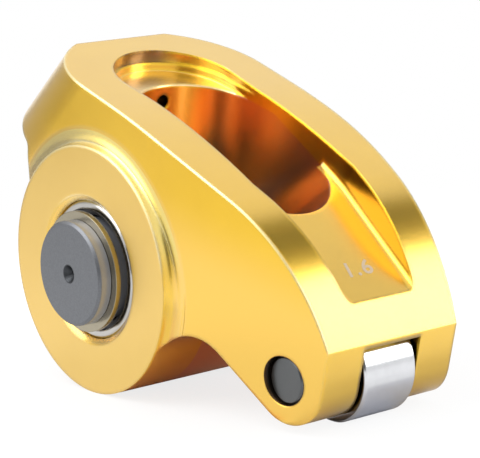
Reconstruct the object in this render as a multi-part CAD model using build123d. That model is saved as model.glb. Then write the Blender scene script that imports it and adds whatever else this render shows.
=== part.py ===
"""Roller rocker arm for a stud-mounted valve train, built as separate pieces.

All sizes are in millimetres. Each piece is modelled in the arm's working frame: the pivot axis is Y
through the origin, the roller lies towards +X and +Z is up along the window. Everything is then turned
nose-down about the pivot by rest_tilt, so that the boss and the roller both touch a level floor.
"""
from build123d import *

import os
from math import asin, atan2, cos, degrees, hypot, radians, sin, tan

# Arm: main distances
pivot_to_roller = 36.6
boss_radius = 17.0
boss_half_width = 16.45
boss_flare = 2.0
boss_flare_depth = 1.7

# Arm: side view
top_height = 24.6
top_tail_x = -20.1
top_line_end = (0.0, 23.45)
top_curve_end = (24.5, 19.6)
nose_corner = (42.6, 6.4)
ear_radius = 5.5
ear_forward = 0.6
arch_radius = 7.0
arch_drop_angle = 17.8
tail_lean = 35.0
tail_tip_radius = 1.5
tail_foot_corner = (-18.6, 11.2)
tail_foot_slope = 13.7
tail_foot_radius = 1.2
tail_meets_boss_angle = 164.6

# Arm: plan view
side_half_width = 15.4
taper_start_x = 8.0
taper_angle = 9.4
taper_blend = 90.0
tail_round_x = -6.7

# Arm: window, pocket and channel
window_half_width = 8.5
window_tail_x = -0.5
window_nose = (23.5, 15.5)
window_nose_lean = 44.0
pocket_x = -6.5
pocket_depth = 3.1
pocket_step_depth = 2.0
pocket_margin = 0.35
pocket_step = 0.45
channel_start_x = 16.0
channel_taper_x = 20.7
channel_taper = 8.5
channel_front = (39.4, 10.6)
channel_slope = 17.6
channel_fillet = 1.0

# Arm: stud slot under the pivot, roller fork and oil hole
slot_half_width = 6.2
slot_half_length = 9.8
fork_half_width = 4.75
fork_radius = 8.3
oil_hole_radius = 1.05
oil_hole_height = 19.0

# Pivot: trunnion, needle bearings and retaining rings
journal_radius = 7.14
trunnion_half_length = 19.5
trunnion_chamfer = 0.35
centre_radius = 8.6
centre_half_length = 8.3
centre_flat = 4.6
stud_hole_radius = 5.6
centre_drill_radius = 1.2
centre_drill_depth = 1.0
pilot_radius = 0.5
cup_radius = 9.525
cup_inset = 0.6
cup_length = 7.2
cup_wall = 0.795
cup_lip_radius = 8.35
cup_edge_break = 0.4
press_gap = 0.01
needle_count = 12
needle_radius = 0.76
cage_gap = 0.3
cage_end_gap = 0.15
cage_rim = 0.6
needle_gap = 0.06
ring_radius = 8.25
ring_thickness = 0.75
ring_outer_face = 17.55
ring_groove_depth = 0.4
ring_opening = 3.0

# Roller end
roller_radius = 6.85
roller_half_width = 4.35
roller_running_gap = 0.04
roller_chamfer = 0.3
axle_radius = 3.175
axle_half_length = 11.5
axle_chamfer = 0.35

# Pushrod end
pushrod_distance = 22.9
pushrod_angle = 149.9
pushrod_lean = 13.7
seat_radius = 4.0
seat_insert_radius = 4.76
seat_insert_length = 5.5
spot_face_radius = 5.8
spot_face_drop = 0.4

# Values that follow from the ones above
rest_tilt = degrees(asin((boss_radius - roller_radius) / pivot_to_roller))
needle_circle = journal_radius + (cup_radius - cup_wall - journal_radius) / 2
cup_outer_face = boss_half_width - cup_inset


def turned(shape):
    """Turn a piece from the working frame into the resting frame."""
    return shape.rotate(Axis.Y, rest_tilt)


def across(face, half_width):
    """Extrude a side-view face, drawn in X and Y, to both sides of the centre plane."""
    return extrude(Plane.XZ * face, half_width, both=True)


def cylinder_y(radius, y_low, y_high):
    """Cylinder along Y between two heights on that axis."""
    disc = Plane(origin=(0, y_low, 0), x_dir=(1, 0, 0), z_dir=(0, 1, 0)) * Circle(radius)
    return extrude(disc, y_high - y_low)


def ring_profile_turned(points):
    """Revolve an outline of (radius, y) points around the Y axis."""
    face = make_face(Polyline(*points, close=True))
    return revolve(face, Axis.Y)


def ear_centre():
    return (pivot_to_roller + ear_forward, 0.0)


def side_outline():
    """The arm seen from the side, as one face."""
    ear_x, ear_z = ear_centre()
    arch_distance = boss_radius + arch_radius
    arch_x = arch_distance * cos(radians(arch_drop_angle))
    arch_z = -arch_distance * sin(radians(arch_drop_angle))
    boss_to_arch = (
        boss_radius * cos(radians(arch_drop_angle)),
        -boss_radius * sin(radians(arch_drop_angle)),
    )

    # The straight flank under the nose touches the arch on one side and the ear on the other.
    gap = hypot(ear_x - arch_x, ear_z - arch_z)
    line_angle = degrees(atan2(ear_z - arch_z, ear_x - arch_x))
    flank = line_angle + 90 - degrees(asin((arch_radius + ear_radius) / gap))
    arch_to_flank = (
        arch_x + arch_radius * cos(radians(flank)),
        arch_z + arch_radius * sin(radians(flank)),
    )
    flank_to_ear = (
        ear_x - ear_radius * cos(radians(flank)),
        ear_z - ear_radius * sin(radians(flank)),
    )
    arch_top = (arch_x, arch_z + arch_radius)
    ear_bottom = (ear_x, ear_z - ear_radius)
    ear_front = (ear_x + ear_radius, ear_z)

    # The tail's foot is square to the pushrod. It meets the leaning back face at the tip.
    foot_x, foot_z = tail_foot_corner
    back = tan(radians(tail_lean))
    rise = tan(radians(tail_foot_slope))
    tip_z = (foot_z + rise * (foot_x - top_tail_x + back * top_height)) / (1 + rise * back)
    tail_tip = (top_tail_x - back * (top_height - tip_z), tip_z)
    boss_to_tail = (
        boss_radius * cos(radians(tail_meets_boss_angle)),
        boss_radius * sin(radians(tail_meets_boss_angle)),
    )

    top_line = Line((top_tail_x, top_height), top_line_end)
    curve = TangentArc(top_line_end, top_curve_end, tangent=top_line % 1)
    nose = TangentArc(top_curve_end, nose_corner, tangent=curve % 1)
    outline = [
        top_line,
        curve,
        nose,
        Line(nose_corner, ear_front),
        ThreePointArc(
            ear_front,
            (ear_x + ear_radius * cos(radians(-45)), ear_z + ear_radius * sin(radians(-45))),
            ear_bottom,
        ),
        ThreePointArc(
            ear_bottom,
            (
                ear_x + ear_radius * cos(radians((flank + 90) / 2 + 180)),
                ear_z + ear_radius * sin(radians((flank + 90) / 2 + 180)),
            ),
            flank_to_ear,
        ),
        Line(flank_to_ear, arch_to_flank),
        ThreePointArc(arch_to_flank, arch_top, boss_to_arch),
        ThreePointArc(boss_to_arch, (0, -boss_radius), boss_to_tail),
        Line(boss_to_tail, tail_foot_corner),
        Line(tail_foot_corner, tail_tip),
        Line(tail_tip, (top_tail_x, top_height)),
    ]
    face = make_face(outline)
    face = fillet(corner_at(face, tail_tip), tail_tip_radius)
    return fillet(corner_at(face, tail_foot_corner), tail_foot_radius)


def corner_at(face, point):
    """The corner of a face that lies nearest to a point."""
    return face.vertices().sort_by_distance((*point, 0))[0]


def plan_outline():
    """The arm seen from above: parallel sides that blend into the nose taper."""
    reach = 60.0
    blend_x = taper_start_x + taper_blend * sin(radians(taper_angle))
    blend_y = side_half_width - taper_blend * (1 - cos(radians(taper_angle)))
    middle_x = taper_start_x + taper_blend * sin(radians(taper_angle / 2))
    middle_y = side_half_width - taper_blend * (1 - cos(radians(taper_angle / 2)))
    nose_y = blend_y - (reach - blend_x) * tan(radians(taper_angle))
    edges = []
    for side in (1, -1):
        edges += [
            Line((-reach, side * side_half_width), (taper_start_x, side * side_half_width)),
            ThreePointArc(
                (taper_start_x, side * side_half_width),
                (middle_x, side * middle_y),
                (blend_x, side * blend_y),
            ),
            Line((blend_x, side * blend_y), (reach, side * nose_y)),
        ]
    edges.append(Line((-reach, side_half_width), (-reach, -side_half_width)))
    edges.append(Line((reach, nose_y), (reach, -nose_y)))
    return make_face(edges)


def round_ended_slot(end_x, radius, reach):
    """Plan face of a slot with a full-radius end at end_x, running on towards reach."""
    far_x = end_x + reach
    tip_x = end_x - radius if reach > 0 else end_x + radius
    return make_face(
        [
            Line((end_x, radius), (far_x, radius)),
            Line((far_x, radius), (far_x, -radius)),
            Line((far_x, -radius), (end_x, -radius)),
            ThreePointArc((end_x, -radius), (tip_x, 0), (end_x, radius)),
        ]
    )


def tail_round():
    """Round tail end that leans back as it goes down, cut with a tilted tool."""
    start_z = 45.0
    run = 75.0
    shift = (start_z - top_height) * tan(radians(tail_lean))
    face = Plane.XY.offset(start_z) * round_ended_slot(tail_round_x + shift, side_half_width, 110)
    return Solid.extrude(face.face(), Vector(-run * tan(radians(tail_lean)), 0, -run))


def boss_flare_ring():
    """Concave blend between each bearing boss and the arm's side, on both sides."""
    outer = boss_radius + boss_flare
    inner_y = boss_half_width - boss_flare_depth
    middle = (
        boss_radius + boss_flare * (1 - cos(radians(45))),
        inner_y + boss_flare_depth * (1 - sin(radians(45))),
    )
    blend = make_face(
        [
            Line((0, 0), (outer + 0.4, 0)),
            Line((outer + 0.4, 0), (outer + 0.4, inner_y)),
            Line((outer + 0.4, inner_y), (outer, inner_y)),
            ThreePointArc((outer, inner_y), middle, (boss_radius, boss_half_width)),
            Line((boss_radius, boss_half_width), (0, boss_half_width)),
            Line((0, boss_half_width), (0, 0)),
        ]
    )
    near = revolve(blend, Axis.Y)
    return near + near.mirror(Plane.XZ)


def floor_height(x):
    """Height of the sloping channel floor at x."""
    return channel_front[1] - (x - channel_front[0]) * tan(radians(channel_slope))


def window_cut():
    """Through window over the trunnion, with a full-radius tail end and a sloping nose end."""
    reach = 70.0
    upright = extrude(round_ended_slot(window_tail_x, window_half_width, reach), 60)

    lean = radians(window_nose_lean)
    nose_plane = Plane(
        origin=(window_nose[0], 0, window_nose[1]),
        x_dir=(-cos(lean), 0, sin(lean)),
        z_dir=(sin(lean), 0, cos(lean)),
    )
    nose_end = nose_plane * round_ended_slot(window_half_width, window_half_width, reach)
    leaning = extrude(nose_end, 60, both=True)

    # Above the channel floor the window stops where the channel starts.
    side = make_face(
        Polyline(
            (-40, 0),
            (40, 0),
            (40, floor_height(40)),
            (channel_start_x, floor_height(channel_start_x)),
            (channel_start_x, 50),
            (-40, 50),
            close=True,
        )
    )
    return upright & leaning & across(side, window_half_width + 1)


def pocket_cut():
    """Two shallow steps around the window's tail end, which run out along its straight sides."""
    upper = Plane.XY.offset(top_height - pocket_step_depth) * pocket_face(pocket_margin)
    lower = Plane.XY.offset(top_height - pocket_depth) * pocket_face(pocket_margin - pocket_step)
    return extrude(upper, 10) + extrude(lower, 10)


def pocket_face(margin):
    """Round-ended pocket that is wider than the window at its round end only."""
    radius = window_half_width + margin
    end_x = window_tail_x + 1
    return make_face(
        [
            Line((pocket_x, radius), (end_x, window_half_width)),
            Line((end_x, window_half_width), (end_x, -window_half_width)),
            Line((end_x, -window_half_width), (pocket_x, -radius)),
            ThreePointArc((pocket_x, -radius), (pocket_x - radius, 0), (pocket_x, radius)),
        ]
    )


def channel_cut():
    """Open channel whose floor slopes from the window down to the nose."""
    slope = radians(channel_slope)
    floor = Plane(
        origin=(channel_taper_x, 0, floor_height(channel_taper_x)),
        x_dir=(cos(slope), 0, -sin(slope)),
        z_dir=(sin(slope), 0, cos(slope)),
    )
    lead = 20.0
    reach = 30.0
    end_half_width = window_half_width - reach * cos(slope) * tan(radians(channel_taper))
    plan = make_face(
        Polyline(
            (-lead, window_half_width),
            (0, window_half_width),
            (reach, end_half_width),
            (reach, -end_half_width),
            (0, -window_half_width),
            (-lead, -window_half_width),
            close=True,
        )
    )
    cut = extrude(floor * plan, 30)
    floor_sides = [
        edge
        for edge in cut.edges()
        if edge.length > 10
        and abs(floor.to_local_coords(edge.center()).Z) < 0.01
        and abs(edge.tangent_at(0.5).Y) < 0.5
    ]
    cut = fillet(floor_sides, channel_fillet)
    behind = Box(60, 60, 120).translate((channel_start_x - 30, 0, 0))
    return cut - behind


def fork_cut():
    """Gap for the roller between the two ears, open at the front and below."""
    reach = 25.0
    diagonal = fork_radius * cos(radians(45))
    below = make_face(
        Polyline(
            (pivot_to_roller - diagonal, diagonal),
            (pivot_to_roller - diagonal - 14, diagonal - 14),
            (pivot_to_roller - diagonal - 14, -reach),
            (pivot_to_roller + 12, -reach),
            (pivot_to_roller + 12, 0),
            (pivot_to_roller, 0),
            close=True,
        )
    )
    round_part = Pos(pivot_to_roller, 0) * Circle(fork_radius)
    return across(below, fork_half_width) + across(round_part, fork_half_width)


def stud_slot_cut():
    """Slot through the underside of the arm for the stud that holds the trunnion."""
    return extrude(SlotOverall(2 * slot_half_length, 2 * slot_half_width), -40)


def pushrod_axis():
    """Plane at the pushrod ball's centre, with Z pointing out of the seat."""
    angle = radians(pushrod_angle)
    lean = radians(pushrod_lean)
    return Plane(
        origin=(pushrod_distance * cos(angle), 0, pushrod_distance * sin(angle)),
        x_dir=(cos(lean), 0, -sin(lean)),
        z_dir=(-sin(lean), 0, -cos(lean)),
    )


def rocker_body():
    """The machined aluminium arm."""
    blank = across(side_outline(), 30)
    arm = blank & extrude(plan_outline(), 60, both=True) & tail_round()
    arm += boss_flare_ring() & blank
    arm += cylinder_y(boss_radius, -boss_half_width, boss_half_width)

    arm -= window_cut()
    arm -= pocket_cut()
    arm -= channel_cut()
    arm -= fork_cut()
    arm -= stud_slot_cut()

    bore = cup_radius + press_gap
    mouth = bore + cup_inset + 0.2
    arm -= cylinder_y(bore, -40, 40)
    lead_in = ring_profile_turned(
        [
            (0, cup_outer_face),
            (bore, cup_outer_face),
            (mouth, boss_half_width),
            (mouth, boss_half_width + 2),
            (0, boss_half_width + 2),
        ]
    )
    arm -= lead_in
    arm -= lead_in.mirror(Plane.XZ)

    arm -= cylinder_y(axle_radius + press_gap, -40, 40).translate((pivot_to_roller, 0, 0))

    seat = pushrod_axis()
    seat_floor = seat.offset(-seat_insert_length)
    arm -= extrude(seat_floor * Circle(seat_insert_radius + press_gap), 30)
    arm -= extrude(seat.offset(-spot_face_drop) * Circle(spot_face_radius), 30)
    oil_end = Vector(window_tail_x - window_half_width, 0, oil_hole_height)
    oil_run = oil_end - seat_floor.origin
    oil_plane = Plane(origin=oil_end, z_dir=oil_run.normalized())
    arm -= extrude(oil_plane.offset(-oil_run.length - 0.5) * Circle(oil_hole_radius), oil_run.length + 3)
    return arm


def trunnion():
    """Pivot pin: two journals, a thicker middle with flats, and the stud hole."""
    groove_inner = ring_outer_face - ring_thickness - 0.05
    groove_outer = ring_outer_face + 0.05
    groove_radius = journal_radius - ring_groove_depth
    half = [
        (0, 0),
        (centre_radius, 0),
        (centre_radius, centre_half_length),
        (journal_radius, centre_half_length),
        (journal_radius, groove_inner),
        (groove_radius, groove_inner),
        (groove_radius, groove_outer),
        (journal_radius, groove_outer),
        (journal_radius, trunnion_half_length - trunnion_chamfer),
        (journal_radius - trunnion_chamfer, trunnion_half_length),
        (centre_drill_radius, trunnion_half_length),
        (pilot_radius, trunnion_half_length - centre_drill_depth),
        (pilot_radius, trunnion_half_length - 2 * centre_drill_depth),
        (0, trunnion_half_length - 2 * centre_drill_depth),
    ]
    right = ring_profile_turned(half)
    pin = right + right.mirror(Plane.XZ)
    flat_block = Box(4 * centre_radius, 2 * centre_half_length, 2 * centre_radius)
    for side in (1, -1):
        pin -= flat_block.translate((0, 0, side * (centre_flat + centre_radius)))
    return pin - Cylinder(stud_hole_radius, 60)


def bearing_cup():
    """Drawn bearing cup on the +Y side, with its lip outwards."""
    inside = cup_radius - cup_wall
    outer = cup_outer_face
    inner = cup_outer_face - cup_length
    return ring_profile_turned(
        [
            (inside, inner),
            (cup_radius, inner),
            (cup_radius, outer - cup_edge_break),
            (cup_radius - cup_edge_break, outer),
            (cup_lip_radius, outer),
            (cup_lip_radius, outer - cup_wall),
            (inside, outer - cup_wall),
        ]
    )


def cage_span():
    """Where the cage starts and ends along Y, inside its cup."""
    low = cup_outer_face - cup_length + cage_end_gap
    high = cup_outer_face - cup_wall - cage_end_gap
    return low, high


def needle(index):
    """One needle roller on the +Y side."""
    low, high = cage_span()
    end_gap = cage_rim + needle_gap
    roller = cylinder_y(needle_radius, low + end_gap, high - end_gap)
    return roller.translate((needle_circle, 0, 0)).rotate(Axis.Y, 360.0 * index / needle_count)


def needle_cage():
    """Cage that spaces the needles on the +Y side."""
    low, high = cage_span()
    cage = cylinder_y(cup_radius - cup_wall - cage_gap, low, high)
    cage -= cylinder_y(journal_radius + cage_gap, low - 1, high + 1)
    opening = Box(4, high - low - 2 * cage_rim, 2 * (needle_radius + needle_gap))
    opening = opening.translate((needle_circle, (low + high) / 2, 0))
    for index in range(needle_count):
        cage -= opening.rotate(Axis.Y, 360.0 * index / needle_count)
    return cage


def retaining_ring():
    """Split ring in the trunnion's groove on the +Y side, open towards the tail."""
    low = ring_outer_face - ring_thickness
    inner = journal_radius - ring_groove_depth + 0.05
    ring = cylinder_y(ring_radius, low, ring_outer_face)
    ring -= cylinder_y(inner, low - 1, ring_outer_face + 1)
    return ring - Box(2 * ring_radius, 60, ring_opening).translate((-ring_radius, 0, 0))


def roller_tip():
    """Steel roller that bears on the valve stem."""
    roller = cylinder_y(roller_radius, -roller_half_width, roller_half_width)
    rims = [edge for edge in roller.edges() if edge.geom_type == GeomType.CIRCLE]
    roller = chamfer(rims, roller_chamfer)
    roller -= cylinder_y(axle_radius + roller_running_gap, -40, 40)
    return roller.translate((pivot_to_roller, 0, 0))


def roller_axle():
    """Pin pressed into both ears."""
    pin = cylinder_y(axle_radius, -axle_half_length, axle_half_length)
    rims = [edge for edge in pin.edges() if edge.geom_type == GeomType.CIRCLE]
    return chamfer(rims, axle_chamfer).translate((pivot_to_roller, 0, 0))


def pushrod_seat():
    """Hardened insert with a ball socket for the pushrod and an oil hole through it."""
    plane = pushrod_axis()
    insert = extrude(plane.offset(-seat_insert_length) * Circle(seat_insert_radius), seat_insert_length)
    insert -= Sphere(seat_radius).translate(plane.origin)
    insert -= extrude(plane.offset(-20) * Circle(oil_hole_radius), 20)
    return insert


def on_both_sides(shape):
    """Turned copies of a +Y piece: the left one at +Y and the right one at -Y."""
    return {"left": turned(shape), "right": turned(shape.mirror(Plane.XZ))}


def all_pieces():
    pieces = {
        "rocker_body": turned(rocker_body()),
        "trunnion": turned(trunnion()),
        "roller_tip": turned(roller_tip()),
        "roller_axle": turned(roller_axle()),
        "pushrod_seat": turned(pushrod_seat()),
    }
    for side, shape in on_both_sides(bearing_cup()).items():
        pieces[f"bearing_cup_{side}"] = shape
    for side, shape in on_both_sides(needle_cage()).items():
        pieces[f"needle_cage_{side}"] = shape
    for side, shape in on_both_sides(retaining_ring()).items():
        pieces[f"retaining_ring_{side}"] = shape
    for index in range(needle_count):
        for side, shape in on_both_sides(needle(index)).items():
            pieces[f"needle_{side}_{index + 1:02d}"] = shape
    return pieces


def write_parts():
    os.makedirs("parts", exist_ok=True)
    for name, shape in all_pieces().items():
        export_step(shape, f"parts/{name}.step")


if __name__ == "__main__":
    write_parts()
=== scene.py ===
"""Roller rocker arm: finishes, the ratio mark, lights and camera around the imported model."""
from math import cos, pi, radians, sin

import bpy
from mathutils import Matrix, Vector


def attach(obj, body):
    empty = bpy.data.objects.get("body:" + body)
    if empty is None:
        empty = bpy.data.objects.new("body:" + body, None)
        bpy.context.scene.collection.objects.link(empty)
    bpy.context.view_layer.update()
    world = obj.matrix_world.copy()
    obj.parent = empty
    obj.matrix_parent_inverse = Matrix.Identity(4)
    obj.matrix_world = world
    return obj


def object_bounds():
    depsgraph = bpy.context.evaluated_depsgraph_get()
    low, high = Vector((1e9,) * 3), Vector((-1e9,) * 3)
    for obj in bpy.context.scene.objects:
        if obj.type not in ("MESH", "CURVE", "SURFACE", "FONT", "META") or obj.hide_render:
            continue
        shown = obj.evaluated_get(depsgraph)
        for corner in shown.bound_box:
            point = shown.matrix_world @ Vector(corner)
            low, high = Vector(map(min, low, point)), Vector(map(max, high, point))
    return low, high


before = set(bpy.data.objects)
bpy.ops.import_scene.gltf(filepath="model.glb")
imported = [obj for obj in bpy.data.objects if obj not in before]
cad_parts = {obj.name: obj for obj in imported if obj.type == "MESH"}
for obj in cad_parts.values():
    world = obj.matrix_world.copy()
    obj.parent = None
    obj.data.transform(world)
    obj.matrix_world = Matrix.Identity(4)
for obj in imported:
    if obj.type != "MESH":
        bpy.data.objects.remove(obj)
cad_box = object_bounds()

MM = 0.001

# Blend and margin where two finishes meet at a sharp border
BORDER = 0.05 * MM

# Places and sizes of the arm, in metres, in the frame in which it rests on the floor
REST_TILT = radians(16.1)
PIVOT_TO_ROLLER = 36.6 * MM
ROLLER_CENTRE = (PIVOT_TO_ROLLER * cos(REST_TILT), 0.0, -PIVOT_TO_ROLLER * sin(REST_TILT))
BOSS_FACE_Y = 16.3 * MM
FLARE_INNER_Y = 14.6 * MM
FLARE_RADIUS = 19.1 * MM
OUTER_SIDE_Y = 9.5 * MM
COVE_OUTER_RADIUS = 19.6 * MM
COVE_WIDTH = 2.4 * MM
COVE_SWEEP = 2.75 * MM
AXLE_HOLE_RADIUS = 3.2 * MM
TRUNNION_END_Y = 19.1 * MM
CENTRE_DRILL_RADIUS = 1.3 * MM
EDGE_RADIUS = 0.75 * MM
EDGE_TURN = 0.94
EDGE_TURN_SOFT = 0.05
OUTER_EDGE_Y = 9.0 * MM
TOP_EDGE_LOW_Z = 7.0 * MM
PALE_COVE_LOW_Z = 8.5 * MM
ROLLER_SIDE_Y = 4.3 * MM
FLAT_FACING = 0.75
FLAT_FACING_SOFT = 0.15
LOW_SIDE_Z = 13.0 * MM
LOW_SIDE_SOFT = 5.0 * MM
HOLE_RIBS = 52.0

# The window through the arm, in the arm's own level frame
WINDOW_HALF_WIDTH = 8.6 * MM
WINDOW_TAIL_X = -9.3 * MM
WINDOW_NOSE_X = 25.0 * MM
WINDOW_DARK_X = -4.5 * MM
POCKET_FLOOR_Z = 21.4 * MM
OIL_HOLE_BACK_X = -13.0 * MM
OIL_HOLE_LOW_Z = 12.0 * MM
POCKET_CENTRE = (-6.5 * MM, 0.0, 0.0)
POCKET_RADIUS = 8.85 * MM
POCKET_SHADE_Y = 4.4 * MM
POCKET_SHADE_SOFT = 2.0 * MM
OIL_HOLE_REACH = 1.2 * MM

# The channel floor that carries the ratio mark, in the arm's own level frame
CHANNEL_FRONT = (39.4 * MM, 10.6 * MM)
CHANNEL_SLOPE = radians(17.6)
CHANNEL_START_X = 20.0 * MM
MARK_HEIGHT = 2.45 * MM
MARK_SLANT = 0.26
MARK_MIDDLE_X = 34.2 * MM
MARK_MIDDLE_Y = -0.2 * MM
MARK_LIFT = 0.012 * MM
MARK_SPACING = 1.15
MARK_BOLDNESS = 0.02
FIGURE_SHARE_OF_SIZE = 0.7

# The paper floor: how far the shadow is kept, where it runs out into the background, and the ring of
# painted light that glows beside the arm
FLOOR_HALF = 1.5
SHADOW_CENTRE_X = 10.0 * MM
SHADOW_REACH = 26.0 * MM
SHADOW_SOFT = 20.0 * MM
SHADOW_WHITENESS = 0.78
POOL_START = 44.0 * MM
POOL_START_SOFT = 10.0 * MM
POOL_END = 120.0 * MM
POOL_END_SOFT = 40.0 * MM
POOL_STRENGTH = 1.2


def linear(hex_colour):
    """Turn an sRGB hex colour into the linear values that a shader socket takes."""
    channels = [int(hex_colour[i:i + 2], 16) / 255 for i in (1, 3, 5)]
    straight = [c / 12.92 if c <= 0.04045 else ((c + 0.055) / 1.055) ** 2.4 for c in channels]
    return (*straight, 1.0)


def add(tree, kind, settings=None, links=None):
    """Add one node: settings by property or input name, links by input name or number."""
    node = tree.nodes.new(kind)
    for name, value in (settings or {}).items():
        if isinstance(name, str) and hasattr(node, name):
            setattr(node, name, value)
        else:
            node.inputs[name].default_value = value
    for name, source in (links or {}).items():
        tree.links.new(source, node.inputs[name])
    return node


def new_material(name):
    """A material with a Principled surface, its tree and the Object coordinates."""
    material = bpy.data.materials.new(name)
    material.use_nodes = True
    tree = material.node_tree
    shader = tree.nodes["Principled BSDF"]
    place = add(tree, "ShaderNodeTexCoord").outputs["Object"]
    return material, tree, shader, place


def set_surface(shader, **values):
    """Set constants straight on the shader's own sockets."""
    for name, value in values.items():
        shader.inputs[name.replace("_", " ")].default_value = value


def axis_distance(tree, place, centre=(0.0, 0.0, 0.0)):
    """Distance from a line along Y through a centre, and the way out from that line."""
    moved = add(tree, "ShaderNodeVectorMath", {"operation": "SUBTRACT", 1: centre}, {0: place})
    flat = add(
        tree,
        "ShaderNodeVectorMath",
        {"operation": "MULTIPLY", 1: (1.0, 0.0, 1.0)},
        {0: moved.outputs[0]},
    )
    length = add(tree, "ShaderNodeVectorMath", {"operation": "LENGTH"}, {0: flat.outputs[0]})
    return length.outputs["Value"], flat.outputs[0]


def side_distance(tree, place):
    """Distance from the arm's centre plane."""
    split = add(tree, "ShaderNodeSeparateXYZ", links={0: place})
    size = add(tree, "ShaderNodeMath", {"operation": "ABSOLUTE"}, {0: split.outputs["Y"]})
    return size.outputs[0]


def beyond(tree, value, limit, soft):
    """0 below a limit and 1 above it, with a soft step."""
    step = add(
        tree,
        "ShaderNodeMapRange",
        {"interpolation_type": "SMOOTHSTEP", "From Min": limit - soft, "From Max": limit + soft},
        {"Value": value},
    )
    return step.outputs["Result"]


def both(tree, first, second):
    """The product of two values: for two masks, where both of them hold."""
    return add(tree, "ShaderNodeMath", {"operation": "MULTIPLY"}, {0: first, 1: second}).outputs[0]


def turned_lines(tree, radius, lines_per_mm):
    """Fine uneven rings that a turning tool leaves around an axis."""
    scaled = add(
        tree,
        "ShaderNodeMath",
        {"operation": "MULTIPLY", 1: lines_per_mm / MM},
        {0: radius},
    )
    rings = add(
        tree,
        "ShaderNodeTexNoise",
        {"noise_dimensions": "1D", "Scale": 1.0, "Detail": 2.0},
        {"W": scaled.outputs[0]},
    )
    return rings.outputs["Fac"]


def mix_colour(tree, factor, first, second):
    """Blend two colours, each a constant or a link, by a linked factor."""
    node = add(tree, "ShaderNodeMix", {"data_type": "RGBA"}, {0: factor})
    for number, colour in ((6, first), (7, second)):
        if isinstance(colour, tuple):
            node.inputs[number].default_value = colour
        else:
            tree.links.new(colour, node.inputs[number])
    return node.outputs[2]


def mix_value(tree, factor, first, second):
    """Blend two numbers, each a constant or a link, by a linked factor."""
    node = add(tree, "ShaderNodeMix", {"data_type": "FLOAT"}, {0: factor})
    for number, value in ((2, first), (3, second)):
        if isinstance(value, float):
            node.inputs[number].default_value = value
        else:
            tree.links.new(value, node.inputs[number])
    return node.outputs[0]


def arm_place(tree, place):
    """Distance along the arm and height, in the arm's own level frame."""
    level = add(
        tree,
        "ShaderNodeMapping",
        {"Rotation": (0.0, -REST_TILT, 0.0)},
        {"Vector": place},
    )
    split = add(tree, "ShaderNodeSeparateXYZ", links={0: level.outputs[0]})
    return split.outputs["X"], split.outputs["Z"], level.outputs[0]


def inside_window(tree, along, height, side):
    """1 on the walls of the window, below the pocket and the channel floor."""
    front_x, front_z = CHANNEL_FRONT
    steepness = sin(CHANNEL_SLOPE) / cos(CHANNEL_SLOPE)
    over_floor = add(
        tree,
        "ShaderNodeMath",
        {"operation": "MULTIPLY_ADD", 1: steepness},
        {0: along, 2: height},
    )
    chosen = beyond(tree, side, WINDOW_HALF_WIDTH, -BORDER)
    chosen = both(tree, chosen, beyond(tree, along, WINDOW_TAIL_X, BORDER))
    chosen = both(tree, chosen, beyond(tree, along, WINDOW_NOSE_X, -BORDER))
    chosen = both(tree, chosen, beyond(tree, height, POCKET_FLOOR_Z, -BORDER))
    floor_height = front_z + front_x * steepness - 2 * BORDER
    return both(tree, chosen, beyond(tree, over_floor.outputs[0], floor_height, -BORDER))


def upright_distance(tree, level, centre):
    """Distance from a line that stands upright in the arm's level frame."""
    moved = add(tree, "ShaderNodeVectorMath", {"operation": "SUBTRACT", 1: centre}, {0: level})
    flat = add(
        tree,
        "ShaderNodeVectorMath",
        {"operation": "MULTIPLY", 1: (1.0, 1.0, 0.0)},
        {0: moved.outputs[0]},
    )
    length = add(tree, "ShaderNodeVectorMath", {"operation": "LENGTH"}, {0: flat.outputs[0]})
    return length.outputs["Value"]


def pocket_end_wall(tree, level, height, side):
    """1 on the middle of the round wall at the tail end of the pocket, which gets painted shade."""
    reach = upright_distance(tree, level, POCKET_CENTRE)
    chosen = beyond(tree, reach, POCKET_RADIUS + 0.08 * MM, -0.03 * MM)
    chosen = both(tree, chosen, beyond(tree, reach, POCKET_RADIUS - 0.15 * MM, BORDER))
    chosen = both(tree, chosen, beyond(tree, height, POCKET_FLOOR_Z + 0.2 * MM, BORDER))
    return both(tree, chosen, beyond(tree, side, POCKET_SHADE_Y, -POCKET_SHADE_SOFT))


def pocket_floor_highlight(tree, level, height):
    """1 on the flat floor of the pocket, which gets a paler painted highlight."""
    reach = upright_distance(tree, level, POCKET_CENTRE)
    chosen = beyond(tree, reach, POCKET_RADIUS - 0.1 * MM, -BORDER)
    chosen = both(tree, chosen, beyond(tree, height, POCKET_FLOOR_Z + 0.1 * MM, -BORDER))
    return both(tree, chosen, beyond(tree, height, POCKET_FLOOR_Z - 0.12 * MM, BORDER))


def oil_hole(tree, along, height, side):
    """1 on the walls of the oil hole, behind the tail end of the window, which get painted shade."""
    chosen = beyond(tree, along, WINDOW_TAIL_X - BORDER, -BORDER)
    chosen = both(tree, chosen, beyond(tree, along, OIL_HOLE_BACK_X, BORDER))
    chosen = both(tree, chosen, beyond(tree, side, OIL_HOLE_REACH, -BORDER))
    chosen = both(tree, chosen, beyond(tree, height, POCKET_FLOOR_Z - 0.2 * MM, -BORDER))
    return both(tree, chosen, beyond(tree, height, OIL_HOLE_LOW_Z, BORDER))


def rounded_edge(tree, softened):
    """1 where the softened normal turns away from the face's own, along the edges."""
    own = add(tree, "ShaderNodeNewGeometry").outputs["Normal"]
    turn = add(tree, "ShaderNodeVectorMath", {"operation": "DOT_PRODUCT"}, {0: softened, 1: own})
    return beyond(tree, turn.outputs["Value"], EDGE_TURN, -EDGE_TURN_SOFT)


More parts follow.
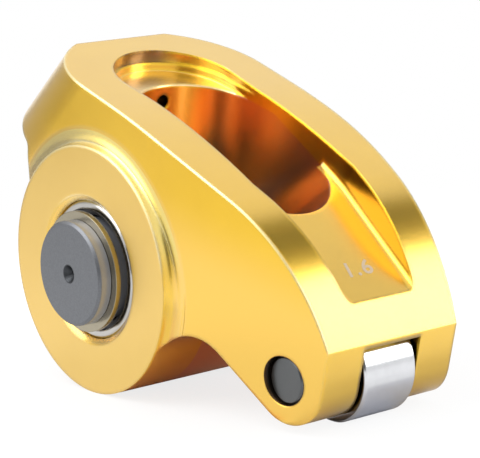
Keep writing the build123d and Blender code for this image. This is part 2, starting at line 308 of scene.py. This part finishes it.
def cove_bump(tree, radius, facing_flat, normal):
    """Shading of the hollow ring that sweeps from the boss down to the flat of the side."""
    short = add(
        tree,
        "ShaderNodeMath",
        {"operation": "SUBTRACT", 0: COVE_OUTER_RADIUS},
        {1: radius},
    )
    short = add(
        tree,
        "ShaderNodeClamp",
        {"Min": 0.0, "Max": COVE_WIDTH},
        {"Value": short.outputs[0]},
    )
    squared = both(tree, short.outputs[0], short.outputs[0])
    rest = add(
        tree,
        "ShaderNodeMath",
        {"operation": "SUBTRACT", 0: COVE_SWEEP * COVE_SWEEP},
        {1: squared},
    )
    root = add(tree, "ShaderNodeMath", {"operation": "SQRT"}, {0: rest.outputs[0]})
    height = add(
        tree,
        "ShaderNodeMath",
        {"operation": "SUBTRACT", 0: COVE_SWEEP},
        {1: root.outputs[0]},
    )
    cove = add(
        tree,
        "ShaderNodeBump",
        {"Distance": 1.0},
        {"Strength": facing_flat, "Height": height.outputs[0], "Normal": normal},
    )
    return cove.outputs[0]


def gold_anodised():
    """Machined aluminium, tumbled, then dyed gold while anodised.

    The dye gives a deep warm metal colour. The clear oxide on top adds a pale sheen at flat angles.
    The boss faces were turned last, so they are paler and duller and carry fine rings. Painted
    shade and painted reflection make the window walls deeper and redder, the pocket's end wall dark
    brown, the channel walls darker and the oil hole and axle hole walls dark. A painted highlight
    makes the pocket floor paler and lays a pale line along the outer top edges and the top of the
    hollow ring; a painted reflection of the bright floor makes the lower outer sides paler.
    """
    material, tree, shader, place = new_material("gold anodised aluminium")
    side = side_distance(tree, place)
    radius = axis_distance(tree, place)[0]

    # Where the tool turned: the two boss faces and the hollow ring around them.
    boss_face = beyond(tree, side, BOSS_FACE_Y, BORDER)
    near_boss = both(
        tree,
        beyond(tree, side, FLARE_INNER_Y, BORDER),
        beyond(tree, radius, FLARE_RADIUS, -BORDER),
    )

    # The dye takes a little unevenly over a few millimetres.
    cloud = add(tree, "ShaderNodeTexNoise", {"Scale": 140.0, "Detail": 3.0}, {"Vector": place})
    tumbled = mix_colour(tree, cloud.outputs["Fac"], linear("#EABB2E"), linear("#F4C636"))
    turned = mix_colour(tree, cloud.outputs["Fac"], linear("#E8BE4C"), linear("#F0C856"))
    window_shade_colour = mix_colour(tree, cloud.outputs["Fac"], linear("#DFA482"), linear("#E7AC8A"))
    pocket_painted_shade = mix_colour(tree, cloud.outputs["Fac"], linear("#744E18"), linear("#7C561C"))
    along, height, level = arm_place(tree, place)
    window = inside_window(tree, along, height, side)
    hole = oil_hole(tree, along, height, side)

    # The flat outer sides and the channel walls have less sheen than the milled tops.
    facing_side = side_distance(tree, add(tree, "ShaderNodeTexCoord").outputs["Normal"])
    flat_side = beyond(tree, facing_side, FLAT_FACING, FLAT_FACING_SOFT)
    outer_side = both(tree, flat_side, beyond(tree, side, OUTER_SIDE_Y, 0.5 * MM))
    near_nose = beyond(tree, along, CHANNEL_START_X, 1.5 * MM)
    inner_side = beyond(tree, side, OUTER_SIDE_Y, -0.5 * MM)
    channel_wall = both(tree, both(tree, flat_side, near_nose), inner_side)
    past_cove = both(tree, outer_side, beyond(tree, radius, COVE_OUTER_RADIUS, 0.3 * MM))
    low_sheen = add(
        tree,
        "ShaderNodeMath",
        {"operation": "MAXIMUM"},
        {0: past_cove, 1: channel_wall},
    )
    tree.links.new(mix_value(tree, low_sheen.outputs[0], 1.0, 0.3), shader.inputs["Coat Weight"])

    # Painted reflection of the bright floor: the lower outer sides are paler.
    low_side_painted_sheen = both(tree, outer_side, beyond(tree, height, LOW_SIDE_Z, -LOW_SIDE_SOFT))
    colour = mix_colour(tree, low_side_painted_sheen, tumbled, linear("#F6C95C"))
    # Painted shade: the middle of the pocket's round end wall is dark brown.
    colour = mix_colour(tree, pocket_end_wall(tree, level, height, side), colour, pocket_painted_shade)
    # Painted shade: the walls of the channel between the ears are darker.
    colour = mix_colour(tree, channel_wall, colour, linear("#B28C20"))
    # Painted shade and painted reflection: the walls deep in the window are deeper and redder.
    painted_window_shade = both(tree, window, beyond(tree, along, WINDOW_DARK_X, 3.0 * MM))
    colour = mix_colour(tree, painted_window_shade, colour, window_shade_colour)
    # Painted highlight: the pocket floor is paler.
    colour = mix_colour(tree, pocket_floor_highlight(tree, level, height), colour, linear("#FFE6AC"))
    # Painted shade: the walls of the oil hole are near black.
    colour = mix_colour(tree, hole, colour, linear("#241408"))
    # Painted highlight: the upper part of the hollow ring around the boss is paler.
    cove_painted_highlight = both(tree, near_boss, beyond(tree, height, PALE_COVE_LOW_Z, 2.5 * MM))
    colour = mix_colour(tree, cove_painted_highlight, colour, linear("#F2D670"))
    colour = mix_colour(tree, boss_face, colour, turned)

    # Tumbling rounds the outer top edges; a pale painted highlight runs along them.
    edge = add(tree, "ShaderNodeBevel", {"samples": 6, "Radius": EDGE_RADIUS})
    any_edge = rounded_edge(tree, edge.outputs[0])
    outer_edge = both(tree, any_edge, beyond(tree, side, OUTER_EDGE_Y, 0.1 * MM))
    top_edge_highlight = both(tree, outer_edge, beyond(tree, height, TOP_EDGE_LOW_Z, 1.5 * MM))
    colour = mix_colour(tree, top_edge_highlight, colour, linear("#FFF0B4"))

    # The walls of the axle holes are ribbed by the pressing tool, and painted shade makes them dark.
    hole_radius, hole_around = axis_distance(tree, place, ROLLER_CENTRE)
    hole_wall = beyond(tree, hole_radius, AXLE_HOLE_RADIUS + BORDER, -0.02 * MM)
    colour = mix_colour(tree, hole_wall, colour, linear("#4A3212"))
    tree.links.new(colour, shader.inputs["Base Color"])
    split = add(tree, "ShaderNodeSeparateXYZ", links={0: hole_around})
    angle = add(
        tree,
        "ShaderNodeMath",
        {"operation": "ARCTAN2"},
        {0: split.outputs["Z"], 1: split.outputs["X"]},
    )
    ribs = add(tree, "ShaderNodeMath", {"operation": "MULTIPLY", 1: HOLE_RIBS}, {0: angle.outputs[0]})
    ribs = add(tree, "ShaderNodeMath", {"operation": "SINE"}, {0: ribs.outputs[0]})
    rib_height = both(tree, ribs.outputs[0], hole_wall)

    fine = add(tree, "ShaderNodeTexNoise", {"Scale": 7000.0, "Detail": 2.0}, {"Vector": place})
    rings = both(tree, turned_lines(tree, radius, 7.0), near_boss)
    worn = add(tree, "ShaderNodeMath", {"operation": "ADD"}, {0: fine.outputs["Fac"], 1: rings})
    worn = add(tree, "ShaderNodeMath", {"operation": "ADD"}, {0: worn.outputs[0], 1: rib_height})
    cove = cove_bump(tree, radius, outer_side, edge.outputs[0])
    bump = add(
        tree,
        "ShaderNodeBump",
        {"Strength": 0.25, "Distance": 0.02 * MM},
        {"Height": worn.outputs[0], "Normal": cove},
    )
    tree.links.new(bump.outputs[0], shader.inputs["Normal"])
    tree.links.new(mix_value(tree, boss_face, 0.26, 0.42), shader.inputs["Roughness"])
    set_surface(shader, Metallic=1.0, Coat_Roughness=0.2, Coat_IOR=1.7)
    return material


def steel(name, colour, roughness, grain=0.02, edge_radius=0.15):
    """Steel with a fine even grain, from grinding or drawing, and softened edges.

    A low roughness gives the eye clear studio bands, a high one a dull grey. The cloudy tint keeps
    large faces from looking flat.
    """
    material, tree, shader, place = new_material(name)
    fine = add(tree, "ShaderNodeTexNoise", {"Scale": 6000.0, "Detail": 2.0}, {"Vector": place})
    edge = add(tree, "ShaderNodeBevel", {"samples": 6, "Radius": edge_radius * MM})
    bump = add(
        tree,
        "ShaderNodeBump",
        {"Strength": 0.3, "Distance": grain * MM},
        {"Height": fine.outputs["Fac"], "Normal": edge.outputs[0]},
    )
    tree.links.new(bump.outputs[0], shader.inputs["Normal"])
    cloud = add(tree, "ShaderNodeTexNoise", {"Scale": 700.0, "Detail": 2.0}, {"Vector": place})
    darker = tuple(0.88 * value for value in linear(colour)[:3]) + (1.0,)
    tint = mix_colour(tree, cloud.outputs["Fac"], darker, linear(colour))
    tree.links.new(tint, shader.inputs["Base Color"])
    set_surface(shader, Metallic=1.0, Roughness=roughness)
    return material


def trunnion_steel():
    """Case-hardened pin: journals ground bright, faced ends left dark and matt with fine rings."""
    material, tree, shader, place = new_material("ground and blackened pin steel")
    side = side_distance(tree, place)
    radius = axis_distance(tree, place)[0]
    face = beyond(tree, side, TRUNNION_END_Y, 0.03 * MM)
    dimple = beyond(tree, radius, CENTRE_DRILL_RADIUS, -BORDER)
    end = add(tree, "ShaderNodeMath", {"operation": "MAXIMUM"}, {0: face, 1: dimple}).outputs[0]
    fine = add(tree, "ShaderNodeTexNoise", {"Scale": 5200.0, "Detail": 3.0}, {"Vector": place})
    dark = mix_colour(tree, fine.outputs["Fac"], linear("#6C6E72"), linear("#85878B"))
    # Painted shade: the centre drill's dimple is darker.
    dark = mix_colour(tree, dimple, dark, linear("#4A4C4F"))
    tree.links.new(mix_colour(tree, end, linear("#9C9EA4"), dark), shader.inputs["Base Color"])
    tree.links.new(mix_value(tree, end, 0.26, 0.45), shader.inputs["Roughness"])
    rings = turned_lines(tree, radius, 5.0)
    height = add(tree, "ShaderNodeMath", {"operation": "ADD"}, {0: fine.outputs["Fac"], 1: rings})
    edge = add(tree, "ShaderNodeBevel", {"samples": 6, "Radius": 0.15 * MM})
    bump = add(
        tree,
        "ShaderNodeBump",
        {"Strength": 0.3, "Distance": 0.015 * MM},
        {"Height": both(tree, height.outputs[0], end), "Normal": edge.outputs[0]},
    )
    tree.links.new(bump.outputs[0], shader.inputs["Normal"])
    tree.links.new(mix_value(tree, end, 0.5, 1.0), shader.inputs["Metallic"])
    return material


def roller_steel():
    """Roller: the rim ground bright, the flat sides left dark after hardening."""
    material = steel("ground roller steel", "#DCDDE0", 0.16, 0.008, 0.2)
    tree = material.node_tree
    base = tree.nodes["Principled BSDF"].inputs["Base Color"]
    place = add(tree, "ShaderNodeTexCoord").outputs["Object"]
    flat_side = beyond(tree, side_distance(tree, place), ROLLER_SIDE_Y, 0.02 * MM)
    rim = base.links[0].from_socket
    tree.links.new(mix_colour(tree, flat_side, rim, linear("#86807E")), base)
    return material


def dress(material, *names):
    """Give every node whose name starts with one of the names this material."""
    for node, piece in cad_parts.items():
        if node.startswith(names):
            piece.data.materials.clear()
            piece.data.materials.append(material)


def dress_all():
    """Give every piece of the part its material."""
    dress(gold_anodised(), "rocker_body")
    dress(trunnion_steel(), "trunnion")
    dress(steel("oiled spring steel", "#A79F8B", 0.22), "retaining_ring")
    dress(steel("bright drawn steel", "#C2BFBA", 0.14, 0.008, 0.35), "bearing_cup")
    dress(steel("pressed cage steel", "#5C5C5E", 0.4), "needle_cage")
    dress(steel("polished needle steel", "#C4C5C8", 0.15), "needle_left", "needle_right")
    dress(roller_steel(), "roller_tip")
    dress(steel("dark axle steel", "#696B6C", 0.34), "roller_axle")
    dress(steel("hardened seat steel", "#77787A", 0.3), "pushrod_seat")


def engraved_mark():
    """Generic ratio number, cut through the dye by a laser, so that pale bare metal shows."""
    curve = bpy.data.curves.new("ratio mark", "FONT")
    curve.body = "1.6"
    curve.size = MARK_HEIGHT / FIGURE_SHARE_OF_SIZE
    curve.align_x = "CENTER"
    curve.align_y = "CENTER"
    curve.shear = MARK_SLANT
    curve.space_character = MARK_SPACING
    curve.offset = MARK_BOLDNESS * curve.size
    curve.resolution_u = 6
    writing = bpy.data.objects.new("ratio_mark_text", curve)
    bpy.context.scene.collection.objects.link(writing)
    bpy.context.view_layer.update()
    evaluated = writing.evaluated_get(bpy.context.evaluated_depsgraph_get())
    mesh = bpy.data.meshes.new_from_object(evaluated)
    bpy.data.objects.remove(writing)
    front_x, front_z = CHANNEL_FRONT
    height = front_z + (front_x - MARK_MIDDLE_X) * sin(CHANNEL_SLOPE) / cos(CHANNEL_SLOPE)
    down = CHANNEL_SLOPE + REST_TILT
    across = Vector((0.0, 1.0, 0.0))
    up_the_digit = Vector((-cos(down), 0.0, sin(down)))
    out = across.cross(up_the_digit)
    middle = Matrix.Rotation(REST_TILT, 4, "Y") @ Vector((MARK_MIDDLE_X, MARK_MIDDLE_Y, height))
    turn = Matrix((across, up_the_digit, out)).transposed().to_4x4()
    mesh.transform(Matrix.Translation(middle + out * MARK_LIFT) @ turn)
    mark = bpy.data.objects.new("ratio_mark", mesh)
    bpy.context.scene.collection.objects.link(mark)
    material, tree, shader, place = new_material("laser-bared aluminium")
    fine = add(tree, "ShaderNodeTexNoise", {"Scale": 9000.0, "Detail": 2.0}, {"Vector": place})
    tint = mix_colour(tree, fine.outputs["Fac"], linear("#BCAA92"), linear("#DCC9AE"))
    tree.links.new(tint, shader.inputs["Base Color"])
    set_surface(shader, Metallic=0.6, Roughness=0.55)
    mark.data.materials.clear()
    mark.data.materials.append(material)
    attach(mark, "arm")


def add_camera():
    """Camera with the photograph's place, lens and slight roll."""
    place = Vector((0.23477, -0.17554, 0.05707))
    target = Vector((0.01108, 0.00132, 0.00431))
    roll = radians(-2.56)
    data = bpy.data.cameras.new("camera")
    data.sensor_width = 36.0
    data.lens = 160.4
    camera = bpy.data.objects.new("camera", data)
    bpy.context.scene.collection.objects.link(camera)
    aim = (target - place).to_track_quat("-Z", "Y").to_matrix().to_4x4()
    camera.matrix_world = Matrix.Translation(place) @ aim @ Matrix.Rotation(roll, 4, "Z")
    bpy.context.scene.camera = camera


def studio_place(azimuth, height_angle, distance):
    """Place and aim of something that stands around the arm and faces it."""
    azimuth = radians(azimuth)
    height_angle = radians(height_angle)
    place = distance * Vector(
        (
            cos(height_angle) * cos(azimuth),
            cos(height_angle) * sin(azimuth),
            sin(height_angle),
        )
    )
    aim = (-place).to_track_quat("-Z", "Y").to_matrix().to_4x4()
    return Matrix.Translation(place) @ aim


def add_softbox(name, azimuth, height_angle, distance, width, height, level):
    """Softbox whose own brightness is level times white."""
    data = bpy.data.lights.new(name, "AREA")
    data.shape = "RECTANGLE"
    data.size = width
    data.size_y = height
    data.energy = level * pi * width * height
    lamp = bpy.data.objects.new(name, data)
    bpy.context.scene.collection.objects.link(lamp)
    lamp.matrix_world = studio_place(azimuth, height_angle, distance)


def stage_card(name, mesh, colour):
    """Put up a card of plain paper that only reflections see."""
    card = bpy.data.objects.new(name, mesh)
    bpy.context.scene.collection.objects.link(card)
    material, tree, shader, place = new_material(name + " paper")
    set_surface(shader, Base_Color=(*colour, 1.0), Roughness=1.0)
    card.data.materials.append(material)
    card.visible_camera = False
    card.visible_diffuse = False
    card.visible_shadow = False


def add_card(name, azimuth, height_angle, distance, width, height, shade):
    """Grey card that only reflections see, to give the polished faces their darker bands."""
    mesh = bpy.data.meshes.new(name)
    corners = [
        (-width / 2, -height / 2, 0),
        (width / 2, -height / 2, 0),
        (width / 2, height / 2, 0),
        (-width / 2, height / 2, 0),
    ]
    mesh.from_pydata(corners, [], [(0, 1, 2, 3)])
    mesh.transform(studio_place(azimuth, height_angle, distance))
    stage_card(name, mesh, (shade, shade, shade))


def add_floor_card(name, corners, colour):
    """Card on the floor that only reflections see, for the parts that face the floor."""
    low = cad_box[0][2] + 0.1 * MM
    mesh = bpy.data.meshes.new(name)
    mesh.from_pydata([(x * MM, y * MM, low) for x, y in corners], [], [(0, 1, 2, 3)])
    stage_card(name, mesh, colour)


def seen_ray(tree):
    """1 for a ray that shows the background: straight to the lens, mirrored or through glass."""
    ray = add(tree, "ShaderNodeLightPath")
    camera_or_mirror = add(
        tree,
        "ShaderNodeMath",
        {"operation": "MAXIMUM"},
        {0: ray.outputs["Is Camera Ray"], 1: ray.outputs["Is Glossy Ray"]},
    )
    any_of_them = add(
        tree,
        "ShaderNodeMath",
        {"operation": "MAXIMUM"},
        {0: camera_or_mirror.outputs[0], 1: ray.outputs["Is Transmission Ray"]},
    )
    return any_of_them.outputs[0]


def add_lights():
    """Two softboxes, the cards that shape the reflections, and an even white background."""
    add_softbox("nose softbox", 42, 22, 0.6, 0.26, 0.36, 4.4)
    add_softbox("side softbox", 250, 52, 0.6, 0.56, 0.52, 2.8)
    add_card("upper grey card", 66, 50, 0.5, 0.2, 0.18, 0.06)
    add_card("left grey card", 196, 16, 0.1, 0.09, 0.055, 0.42)
    add_card("camera side card", 306, 8, 0.2, 0.13, 0.12, 0.05)
    add_card("low grey strip", 40, 0, 0.3, 0.3, 0.008, 0.4)
    add_floor_card(
        "under card",
        [(-19, -16), (32, -16), (32, 40), (-19, 40)],
        (0.85, 0.58, 0.42),
    )
    add_floor_card(
        "front floor card",
        [(34, -30), (48, -30), (48, 45), (34, 45)],
        (0.62, 0.63, 0.68),
    )
    world = bpy.data.worlds.new("studio")
    bpy.context.scene.world = world
    world.use_nodes = True
    tree = world.node_tree
    light = tree.nodes["Background"]
    light.inputs["Color"].default_value = (1.0, 1.0, 1.0, 1.0)
    light.inputs["Strength"].default_value = 0.85
    seen = add(tree, "ShaderNodeBackground", {"Color": (1.0, 1.0, 1.0, 1.0), "Strength": 1.0})
    mix = add(
        tree,
        "ShaderNodeMixShader",
        links={0: seen_ray(tree), 1: light.outputs[0], 2: seen.outputs[0]},
    )
    tree.links.new(mix.outputs[0], tree.nodes["World Output"].inputs["Surface"])


def add_floor():
    """White paper floor that keeps the contact shadow and runs out into the white background."""
    height = cad_box[0][2]
    mesh = bpy.data.meshes.new("floor")
    corners = [
        (-FLOOR_HALF, -FLOOR_HALF, height),
        (FLOOR_HALF, -FLOOR_HALF, height),
        (FLOOR_HALF, FLOOR_HALF, height),
        (-FLOOR_HALF, FLOOR_HALF, height),
    ]
    mesh.from_pydata(corners, [], [(0, 1, 2, 3)])
    floor = bpy.data.objects.new("floor", mesh)
    bpy.context.scene.collection.objects.link(floor)
    material, tree, shader, place = new_material("white paper floor")
    set_surface(shader, Base_Color=linear("#FAFAFA"), Roughness=0.9)
    under_arm = (SHADOW_CENTRE_X, 0.0, height)
    moved = add(tree, "ShaderNodeVectorMath", {"operation": "SUBTRACT", 1: under_arm}, {0: place})
    distance = add(tree, "ShaderNodeVectorMath", {"operation": "LENGTH"}, {0: moved.outputs[0]})
    away = beyond(tree, distance.outputs["Value"], SHADOW_REACH, SHADOW_SOFT)
    whiteness = mix_value(tree, away, SHADOW_WHITENESS, 1.0)
    # Painted light: a ring of the floor beside the arm glows brighter, which brightens the
    # reflections in the lower sides.
    painted_light_pool = both(
        tree,
        beyond(tree, distance.outputs["Value"], POOL_START, POOL_START_SOFT),
        beyond(tree, distance.outputs["Value"], POOL_END, -POOL_END_SOFT),
    )
    white = add(tree, "ShaderNodeEmission", {"Color": (1.0, 1.0, 1.0, 1.0)})
    tree.links.new(mix_value(tree, painted_light_pool, 1.0, POOL_STRENGTH), white.inputs["Strength"])
    runs_out = both(tree, whiteness, seen_ray(tree))
    mix = add(
        tree,
        "ShaderNodeMixShader",
        links={0: runs_out, 1: shader.outputs[0], 2: white.outputs[0]},
    )
    tree.links.new(mix.outputs[0], tree.nodes["Material Output"].inputs["Surface"])
    floor.data.materials.append(material)


dress_all()
engraved_mark()
add_camera()
add_lights()
add_floor()
bpy.context.scene.view_settings.view_transform = "Standard"
